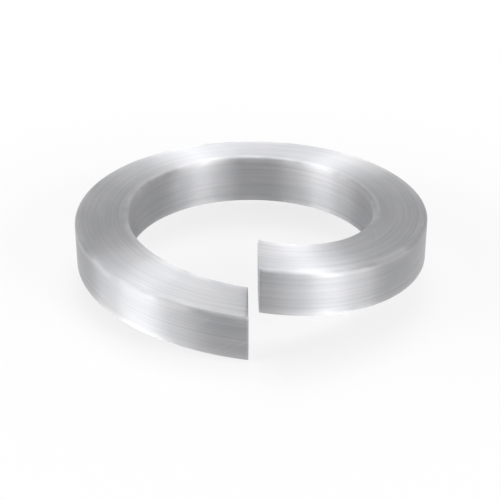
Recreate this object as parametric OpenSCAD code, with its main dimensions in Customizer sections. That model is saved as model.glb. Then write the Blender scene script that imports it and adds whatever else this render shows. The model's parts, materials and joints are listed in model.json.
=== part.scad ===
/* [Bore] */
// Diameter of the hole that the bolt passes through
bore_d = 12.3; // [6:0.1:40]

/* [Section] */
// Width of the rolled wire, from the bore to the outside
section_w = 2.65; // [1.5:0.05:6]
// Thickness of the wire at the bore, where coiling upsets it
bore_t = 2.6; // [1.2:0.05:6]
// Thickness of the wire at the outside, where coiling stretches it
rim_t = 2.3; // [1.2:0.05:6]
// Radius rolled along the four long edges of the wire
edge_r = 0.15; // [0.1:0.01:0.5]

/* [Spring set] */
// Height of the upper cut end above the lower one
rise = 2.5; // [0.5:0.05:6]
// Share of the rise that the lower half of the ring takes
low_share = 0.4; // [0.2:0.05:0.8]
// How the ring climbs: 1 is an even helix, more keeps the back flat and bends the two ends
rise_power = 3.5; // [1:0.25:5]

/* [Split] */
// Width of the slit between the two cut ends
split_w = 0.45; // [0.2:0.05:1.5]

/* [Hidden] */

// Overall sizes of the relaxed washer
outer_d = bore_d + 2 * section_w;
free_height = max(bore_t, rim_t) + rise;

// Angle from the back of the ring to the inner corner of each cut end
half_sweep = 180 - asin(split_w / bore_d);
// Share of the slit's half angle that the sweep runs on past that corner, and that angle
slit_reach = 0.75;
run_on = slit_reach * (180 - half_sweep);

// Stations along the sweep, and steps round each long edge of the section
stations = 108;
edge_steps = 4;

// Share of each edge radius that the round sides trim off
edge_trim = 0.1;
// Distance that the swept walls stand out past the round sides that trim them
spare = edge_trim * edge_r + outer_d / 2 * (1 / cos(180 / stations) - 1);
// Length by which each cutting shape runs past what it cuts
through = 1;

// Height of the underside at an angle from the back, clockwise as seen from above
function height_at(angle) =
    let (climb = pow(abs(angle) / half_sweep, rise_power))
    rise * (angle < 0 ? low_share * (1 - climb) : low_share + (1 - low_share) * climb);

// Angle of one station, from the lower end round to the upper end
function station_angle(i) = (2 * i / stations - 1) * (half_sweep + run_on);

// Round of one long edge, as [distance from the axis, height], about its centre
function rounded_edge(centre, start, end) =
    [for (i = [0 : edge_steps])
        let (turn = start + (end - start) * i / edge_steps)
        centre + edge_r * [cos(turn), sin(turn)]];

// Outline of the wire, from its outer top edge round over the bore to its outer bottom edge
function wire_outline() =
    let (
        inner = bore_d / 2 - spare + edge_r,
        outer = outer_d / 2 + spare - edge_r,
        middle = max(bore_t, rim_t) / 2,
        inner_up = bore_t / 2 - edge_r,
        outer_up = rim_t / 2 - edge_r,
        lean = atan((inner_up - outer_up) / (outer - inner))
    )
    concat(
        rounded_edge([outer, middle + outer_up], 0, 90 - lean),
        rounded_edge([inner, middle + inner_up], 90 - lean, 180),
        rounded_edge([inner, middle - inner_up], 180, 270 + lean),
        rounded_edge([outer, middle - outer_up], 270 + lean, 360)
    );

// Wire swept once round the bore while it climbs from the lower end to the upper end
module sprung_wire() {
    outline = wire_outline();
    count = len(outline);
    points = [
        for (i = [0 : stations])
            let (angle = station_angle(i))
            for (p = outline)
                [p.x * sin(angle), p.x * cos(angle), p.y + height_at(angle)]
    ];
    sides = [
        for (i = [0 : stations - 1])
            for (k = [0 : count - 1])
                let (
                    here = i * count + k,
                    beside = i * count + (k + 1) % count
                )
                each [
                    [here, here + count, beside],
                    [beside, here + count, beside + count]
                ]
    ];
    lower_cap = [for (k = [0 : count - 1]) k];
    upper_cap = [for (k = [count - 1 : -1 : 0]) stations * count + k];
    polyhedron(points, concat(sides, [lower_cap, upper_cap]));
}

// Round bore and round outside, which the coiled wire takes from its arbor and its die
module round_sides() {
    difference() {
        translate([0, 0, -through])
            cylinder(d = outer_d, h = free_height + 2 * through, $fn = 180);
        translate([0, 0, -2 * through])
            cylinder(d = bore_d, h = free_height + 4 * through, $fn = 180);
    }
}

// Parallel slit that parts the two ends at the front of the ring
module slit() {
    translate([-split_w / 2, -outer_d / 2 - through, -through])
        cube([split_w, outer_d / 2 + through, free_height + 2 * through]);
}

// The whole washer: one length of hardened wire, coiled, parted and set open
module lock_washer() {
    color([0.76, 0.76, 0.78])
    difference() {
        intersection() {
            sprung_wire();
            round_sides();
        }
        slit();
    }
}

lock_washer();
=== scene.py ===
import json
import math

import bmesh
import bpy
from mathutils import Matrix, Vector


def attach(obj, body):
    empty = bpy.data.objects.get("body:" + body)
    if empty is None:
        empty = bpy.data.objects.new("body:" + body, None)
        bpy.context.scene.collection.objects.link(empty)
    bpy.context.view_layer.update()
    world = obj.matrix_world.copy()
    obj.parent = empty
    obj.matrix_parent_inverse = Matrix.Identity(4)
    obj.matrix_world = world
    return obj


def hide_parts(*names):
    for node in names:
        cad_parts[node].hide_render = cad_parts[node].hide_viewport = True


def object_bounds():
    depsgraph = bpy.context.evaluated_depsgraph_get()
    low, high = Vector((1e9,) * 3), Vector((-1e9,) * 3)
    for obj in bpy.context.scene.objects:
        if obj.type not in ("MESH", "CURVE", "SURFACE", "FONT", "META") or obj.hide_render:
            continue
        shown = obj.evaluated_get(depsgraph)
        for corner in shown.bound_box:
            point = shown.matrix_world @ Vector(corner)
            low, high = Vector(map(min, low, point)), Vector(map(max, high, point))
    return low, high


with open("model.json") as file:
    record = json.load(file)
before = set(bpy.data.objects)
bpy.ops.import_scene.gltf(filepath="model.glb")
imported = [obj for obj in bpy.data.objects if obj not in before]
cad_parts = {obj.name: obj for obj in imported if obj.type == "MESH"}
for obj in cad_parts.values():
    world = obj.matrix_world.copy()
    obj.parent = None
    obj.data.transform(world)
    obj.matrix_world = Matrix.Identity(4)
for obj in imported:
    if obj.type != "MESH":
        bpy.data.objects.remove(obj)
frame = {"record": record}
cad_low, cad_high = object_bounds()


# Camera. A short telephoto looks down on the ring from the front, a little left of the slit, so that
# the washer fills the picture as in the photograph and the slit shows the floor behind it.
picture_side_px = 500
outer_edge_px = 171.3
axis_foot_px = (250.9, 271.1)
camera_azimuth = math.radians(-0.8)
camera_elevation = math.radians(28.9)
radii_away = 8.13
sensor_mm = 36
nearest_share = 0.05
farthest_share = 40
outer_r = cad_high.x
camera_distance = outer_r * radii_away

back_of_view = Vector((
    math.sin(camera_azimuth) * math.cos(camera_elevation),
    -math.cos(camera_azimuth) * math.cos(camera_elevation),
    math.sin(camera_elevation),
))
bpy.ops.object.select_all(action="DESELECT")
bpy.ops.object.camera_add(location=back_of_view * camera_distance)
camera = bpy.context.object
camera.name = "camera"
camera.rotation_euler = (-back_of_view).to_track_quat("-Z", "Y").to_euler()
camera.data.sensor_width = sensor_mm
camera.data.lens = outer_edge_px * radii_away / picture_side_px * sensor_mm
camera.data.shift_x = (picture_side_px / 2 - axis_foot_px[0]) / picture_side_px
camera.data.shift_y = (axis_foot_px[1] - picture_side_px / 2) / picture_side_px
camera.data.clip_start = camera_distance * nearest_share
camera.data.clip_end = camera_distance * farthest_share
bpy.context.scene.camera = camera
bpy.context.scene.view_settings.view_transform = "Standard"


# The washer. One length of spring steel wire, rolled nearly square with rounded long edges, coiled
# once round an arbor, which thickens it at the bore and thins it at the outside, then sheared
# through, hardened and set with its two ends apart along the bolt axis.
bore_r = frame["record"]["mounts"][0]["dims"]["r_mm"] / 1000
wire_w = outer_r - bore_r
wire_middle_r = (bore_r + outer_r) / 2
bore_t = 0.0026
rim_t = 0.0023
long_edge_r = 0.00015
long_edge_steps = 8
rise = (cad_high.z - cad_low.z) - bore_t
low_share = 0.4
rise_power = 3.5
slit_w = 0.00045
cut_edge_r = 0.00003
cut_edge_steps = 3
stations = 240
crease = math.radians(40)
flat_face_weight = 80

# The climb ends at the inner corner of each cut face. The sweep goes a little further, to just inside
# the slit, so that every corner of its two end sections can be moved back onto a cut face.
half_sweep = math.pi - math.asin(slit_w / 2 / bore_r)
unswept_share_of_slit = 0.8
sweep = 2 * math.pi - 2 * unswept_share_of_slit * math.asin(slit_w / 2 / outer_r)


def height_at(angle):
    """Height of the underside at an angle from the back of the ring, clockwise seen from above."""
    climb = (abs(angle) / half_sweep) ** rise_power
    return rise * (low_share + climb * ((angle > 0) - low_share))


bpy.ops.object.select_all(action="DESELECT")
bpy.ops.mesh.primitive_plane_add(size=1, rotation=(0, math.pi / 2, 0))
washer = bpy.context.object
washer.name = "spring_washer"
washer.scale = (bore_t, wire_w, 1)
bpy.ops.object.transform_apply(location=True, rotation=True, scale=True)
bpy.ops.object.mode_set(mode="EDIT")
mesh = bmesh.from_edit_mesh(washer.data)
bpy.ops.mesh.select_all(action="DESELECT")
for corner in mesh.verts:
    corner.select = corner.co.y > 0
bmesh.update_edit_mesh(washer.data)
bpy.ops.transform.resize(value=(1, 1, rim_t / bore_t), center_override=(0, 0, 0))
bpy.ops.mesh.select_all(action="SELECT")
bpy.ops.mesh.bevel(offset=long_edge_r, segments=long_edge_steps, affect="VERTICES")
bpy.ops.mesh.select_all(action="SELECT")
start_angle = -sweep / 2
bpy.ops.transform.translate(value=(0, wire_middle_r, bore_t / 2 + height_at(start_angle)))
bpy.ops.transform.rotate(value=start_angle, orient_axis="Z", center_override=(0, 0, 0))
for step in range(stations):
    here = start_angle + sweep * step / stations
    there = start_angle + sweep * (step + 1) / stations
    bpy.ops.mesh.extrude_region_move(
        TRANSFORM_OT_translate={"value": (0, 0, height_at(there) - height_at(here))}
    )
    bpy.ops.transform.rotate(value=there - here, orient_axis="Z", center_override=(0, 0, 0))


def on_cut_face(corner):
    """The point where the helix through a corner of the section meets the cut face on its own side."""
    x = math.copysign(slit_w / 2, corner.x)
    y = -math.sqrt(corner.x ** 2 + corner.y ** 2 - x ** 2)
    return x, y, corner.z + height_at(math.atan2(x, y)) - height_at(math.atan2(corner.x, corner.y))


mesh = bmesh.from_edit_mesh(washer.data)
bpy.ops.mesh.select_all(action="DESELECT")
for corner in mesh.verts:
    if corner.co.y < 0 and abs(corner.co.x) < slit_w / 2:
        corner.co = on_cut_face(corner.co)
        corner.select = True
mesh.select_flush(True)
bmesh.update_edit_mesh(washer.data)
bpy.ops.mesh.bevel(offset=cut_edge_r, segments=cut_edge_steps, affect="EDGES")
bpy.ops.mesh.select_all(action="SELECT")
bpy.ops.mesh.normals_make_consistent(inside=False)
bpy.ops.object.mode_set(mode="OBJECT")
bpy.ops.object.shade_smooth_by_angle(angle=crease)
flat_shading = washer.modifiers.new("flat_faces", "WEIGHTED_NORMAL")
flat_shading.keep_sharp = True
flat_shading.weight = flat_face_weight
bpy.ops.object.modifier_apply(modifier=flat_shading.name)


# Shader sums. A socket in a material's node tree, on which a pattern is written as an ordinary
# Python expression; each sum adds its Math node, and any other node comes from the node method.
class Signal:
    def __init__(self, tree, socket):
        self.tree = tree
        self.socket = socket

    def node(self, kind, settings=None, inputs=None, output=0):
        made = self.tree.nodes.new(kind)
        for name, value in (settings or {}).items():
            setattr(made, name, value)
        for name, value in (inputs or {}).items():
            if isinstance(value, Signal):
                self.tree.links.new(value.socket, made.inputs[name])
            else:
                made.inputs[name].default_value = value
        return Signal(self.tree, made.outputs[output])

    def math(self, operation, *others):
        """One Math node on this number and the others, in that order."""
        return self.node("ShaderNodeMath", {"operation": operation}, dict(enumerate((self, *others))))

    def __add__(self, other):
        return self.math("ADD", other)

    def __radd__(self, other):
        return self.math("ADD", other)

    def __sub__(self, other):
        return self.math("SUBTRACT", other)

    def __rsub__(self, other):
        return self.math("MULTIPLY_ADD", -1.0, other)

    def __mul__(self, other):
        return self.math("MULTIPLY", other)

    def __rmul__(self, other):
        return self.math("MULTIPLY", other)

    def __truediv__(self, other):
        return self.math("DIVIDE", other)

    def __abs__(self):
        return self.math("ABSOLUTE")

    def __pow__(self, power):
        return self.math("POWER", power)

    def __gt__(self, other):
        return self.math("GREATER_THAN", other)

    def smooth_step(self, start, end):
        """0 at start and before it, 1 at end and after it, with a soft change between them."""
        return self.node(
            "ShaderNodeMapRange",
            {"interpolation_type": "SMOOTHSTEP"},
            {"Value": self, "From Min": start, "From Max": end, "To Min": 0.0, "To Max": 1.0},
        )

    def parts(self):
        """The three numbers of a position."""
        split = self.node("ShaderNodeSeparateXYZ", {}, {0: self}).socket.node
        return [Signal(self.tree, number) for number in split.outputs]

    def noise(self, x, y, z, detail):
        """Cloudy noise from 0 to 1, its clouds about 1 wide in each of x, y and z."""
        place = self.node("ShaderNodeCombineXYZ", {}, {0: x, 1: y, 2: z})
        return self.node(
            "ShaderNodeTexNoise", {}, {"Vector": place, "Scale": 1.0, "Detail": detail, "Roughness": 0.55}
        )

    def blend(self, first, second):
        """The first colour where this is 0, the second where it is 1."""
        first, second = (
            colour if isinstance(colour, Signal) else (*colour, 1.0) for colour in (first, second)
        )
        return self.node("ShaderNodeMix", {"data_type": "RGBA"}, {0: self, 6: first, 7: second}, 2)

    def bump(self, depth):
        """The surface normal where this is the relief, of which 1 stands that depth above 0."""
        return self.node("ShaderNodeBump", {}, {"Strength": 1.0, "Distance": depth, "Height": self})

    def feed(self, socket):
        self.tree.links.new(self.socket, socket)


def new_metal(name):
    """A named metal with its shader, and the position on the washer as its first signal."""
    metal = bpy.data.materials.new(name)
    metal.use_nodes = True
    tree = metal.node_tree
    shader = tree.nodes["Principled BSDF"]
    shader.inputs["Metallic"].default_value = 1.0
    place = tree.nodes.new("ShaderNodeTexCoord")
    return metal, shader, Signal(tree, place.outputs["Object"])


def place_on_wire(place):
    """Distance along the wire, and out from and up from the middle of its section."""
    x, y, z = place.parts()
    angle = x.math("ARCTAN2", y)
    along = angle * wire_middle_r
    across = (x * x + y * y) ** 0.5 - wire_middle_r
    # height_at works on a signal as it does on a number, and adds its nodes.
    up = z - height_at(angle) - bore_t / 2
    return along, across, up


# The rolled and coiled skin of the wire. Fine lines and wider bands from the drawing die run along
# it, in faint cloudy patches. The lines spread each highlight across the wire, the long edges are
# rubbed brighter here and there, and handling has left a few slanting hairline scratches.
bright_steel, shader, place = new_metal("bright_spring_steel")
shader.inputs["Anisotropic"].default_value = 1.0
shader.inputs["Anisotropic Rotation"].default_value = 0.25
along, across, up = place_on_wire(place)

draw_line_w = 0.00008
draw_line_l = 0.007
draw_lines = place.noise(along / draw_line_l, across / draw_line_w, up / draw_line_w, 3.0)
band_w = 0.0005
band_l = 0.006
bands = place.noise(along / band_l, across / band_w, up / band_w, 2.0)
patch_w = 0.0014
patch_l = 0.0028
patches = place.noise(along / patch_l, across / patch_w, up / patch_w, 3.0)

half_t = (bore_t + rim_t) / 4 - across * (bore_t - rim_t) / (2 * wire_w)
out_of_wall = abs(across) - (wire_w / 2 - long_edge_r)
out_of_face = abs(up) - half_t + long_edge_r
near_edge = (out_of_wall + out_of_face).smooth_step(-long_edge_r, long_edge_r)
rubbed_edge = near_edge * patches.smooth_step(0.35, 0.6)

scratch_w = 0.00005
scratch_l = 0.003
scratch_turn = math.radians(25)
swing_reach = 0.003
swing_w = 0.005
swing = place.noise(along / swing_w, across / swing_w, up / swing_w, 0.0) * swing_reach
over = across - up
run = along * math.cos(scratch_turn) + over * math.sin(scratch_turn)
aside = over * math.cos(scratch_turn) - along * math.sin(scratch_turn) + swing
hairlines = place.noise(run / scratch_l, aside / scratch_w, 0.0, 0.0).smooth_step(0.70, 0.80)
scratches = hairlines * (1 - near_edge)

cool_patch = (0.507, 0.510, 0.528)
pale_patch = (0.553, 0.553, 0.564)
line_grey = (0.427, 0.430, 0.448)
line_share = 0.6
rubbed_bright = (0.585, 0.585, 0.596)
steel = patches.smooth_step(0.3, 0.7).blend(cool_patch, pale_patch)
steel = (draw_lines.smooth_step(0.35, 0.75) * line_share).blend(steel, line_grey)
rubbed_edge.blend(steel, rubbed_bright).feed(shader.inputs["Base Color"])

skin_roughness = 0.58
roughness = skin_roughness + 0.18 * (draw_lines - 0.5) + 0.10 * (bands - 0.5) + 0.10 * (patches - 0.5)
(roughness - 0.06 * rubbed_edge - 0.08 * scratches).feed(shader.inputs["Roughness"])

drawn_depth = 0.000003
(draw_lines + 1.2 * bands - 0.8 * scratches).bump(drawn_depth).feed(shader.inputs["Normal"])
washer.data.materials.append(bright_steel)


# The two cut ends. The shear leaves a smooth burnished band with drag lines where the blade went in,
# at the top of the lower end and the bottom of the upper one, and torn grey steel on the rest.
sheared_steel, shader, place = new_metal("sheared_steel")
along, across, up = place_on_wire(place)

grain_w = 0.00011
grain = place.noise(across / grain_w, across / grain_w, up / grain_w, 4.0)
drag_line_w = 0.00005
drag_line_l = 0.001
drag_lines = place.noise(0.0, across / drag_line_w, up / drag_line_l, 2.0)
tear_w = 0.0006
tear = place.noise(0.0, across / tear_w, 0.0, 3.0)
into_cut = 0.25 * (tear - 0.5) - up * along.math("SIGN") / bore_t
burnished = into_cut.smooth_step(0.08, 0.13)
torn = 1 - burnished

torn_grey = (0.300, 0.302, 0.310)
burnished_grey = (0.420, 0.420, 0.428)
burnished.blend(torn_grey, burnished_grey).feed(shader.inputs["Base Color"])

burnished_roughness = 0.34
drag_roughness = 0.10 * (drag_lines - 0.5)
torn_roughness = torn * (0.16 + 0.2 * (grain - 0.5))
(burnished_roughness + drag_roughness + torn_roughness).feed(shader.inputs["Roughness"])

tear_depth = 0.00001
(torn * grain + burnished * (0.8 + 0.12 * drag_lines)).bump(tear_depth).feed(shader.inputs["Normal"])
washer.data.materials.append(sheared_steel)
flush = 0.000001
for face in washer.data.polygons:
    if face.center.y < 0 and abs(abs(face.center.x) - slit_w / 2) < flush:
        face.material_index = 1

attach(washer, "root")
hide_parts("lock_washer")


# Floor and surround. A pale paper sheet keeps the soft shadow of the washer and turns wholly white
# three centimetres out. The white surround shows in the metal and adds a little even light.
def seen_directly(tree):
    """1 for camera, glossy and transmission rays, which show the white background, 0 for others."""
    path = tree.nodes.new("ShaderNodeLightPath")
    camera_ray, glossy_ray, transmission_ray = (
        Signal(tree, path.outputs[f"Is {kind} Ray"]) for kind in ("Camera", "Glossy", "Transmission")
    )
    return camera_ray.math("MAXIMUM", glossy_ray).math("MAXIMUM", transmission_ray)


floor_side = 1.2
bpy.ops.mesh.primitive_plane_add(size=floor_side, location=(0, 0, 0))
floor = bpy.context.object
floor.name = "floor"
floor_paper = bpy.data.materials.new("white_paper")
floor_paper.use_nodes = True
tree = floor_paper.node_tree
tree.nodes.clear()
directly = seen_directly(tree)
paper_white = (0.9, 0.9, 0.9, 1.0)
pure_white = (1.0, 1.0, 1.0, 1.0)
paper = directly.node("ShaderNodeBsdfDiffuse", {}, {"Color": paper_white})
glow = directly.node("ShaderNodeEmission", {}, {"Color": pure_white, "Strength": 1.0})
x, y, _ = directly.node("ShaderNodeTexCoord", {}, {}, "Object").parts()
white_from = 0.010
all_white_from = 0.030
far_off = ((x * x + y * y) ** 0.5).smooth_step(white_from, all_white_from)
near_share = 0.75
white_share = near_share + (1 - near_share) * far_off
mixed = directly.node("ShaderNodeMixShader", {}, {0: directly * white_share, 1: paper, 2: glow})
surface = tree.nodes.new("ShaderNodeOutputMaterial")
mixed.feed(surface.inputs["Surface"])
floor.data.materials.append(floor_paper)

surround = bpy.data.worlds.new("white_surround")
bpy.context.scene.world = surround
surround.use_nodes = True
tree = surround.node_tree
room_light = 0.32
background = tree.nodes["Background"]
background.inputs["Color"].default_value = pure_white
(room_light + (1 - room_light) * seen_directly(tree)).feed(background.inputs["Strength"])


# Lamps. Two wide soft boxes stand low at the sides and one hangs high behind the washer. Each is
# brighter up its middle, so each band of light on the metal is bright at its middle and fades out.
box_distance = 0.32
middle_share = 0.3
wing_share = (1 - middle_share) / 2
middle_glow = 2.5
ring_middle = Vector((0, 0, cad_high.z / 2))


def soft_box(name, azimuth, elevation, width, height, brightness):
    """Three strips of light side by side, aimed at the washer; azimuth 0 is the viewer's side."""
    a, e = math.radians(azimuth), math.radians(elevation)
    way = Vector((math.sin(a) * math.cos(e), -math.cos(a) * math.cos(e), math.sin(e)))
    facing = (-way).to_track_quat("-Z", "Y")
    wing_aside = width * (middle_share + wing_share) / 2
    for strip_aside, share, glow in (
        (-wing_aside, wing_share, 1.0),
        (0.0, middle_share, middle_glow),
        (wing_aside, wing_share, 1.0),
    ):
        spot = ring_middle + way * box_distance + facing @ Vector((strip_aside, 0, 0))
        bpy.ops.object.light_add(type="AREA", location=spot)
        lamp = bpy.context.object
        lamp.name = name
        lamp.rotation_euler = facing.to_euler()
        lamp.data.shape = "RECTANGLE"
        lamp.data.size = width * share
        lamp.data.size_y = height
        lamp.data.energy = brightness * glow * math.pi * width * share * height
        lamp.visible_camera = False


soft_box("right_soft_box", azimuth=47, elevation=14, width=0.36, height=0.24, brightness=2.6)
soft_box("left_soft_box", azimuth=-71, elevation=12, width=0.50, height=0.22, brightness=2.6)
soft_box("top_soft_box", azimuth=176, elevation=66, width=0.28, height=0.18, brightness=1.7)
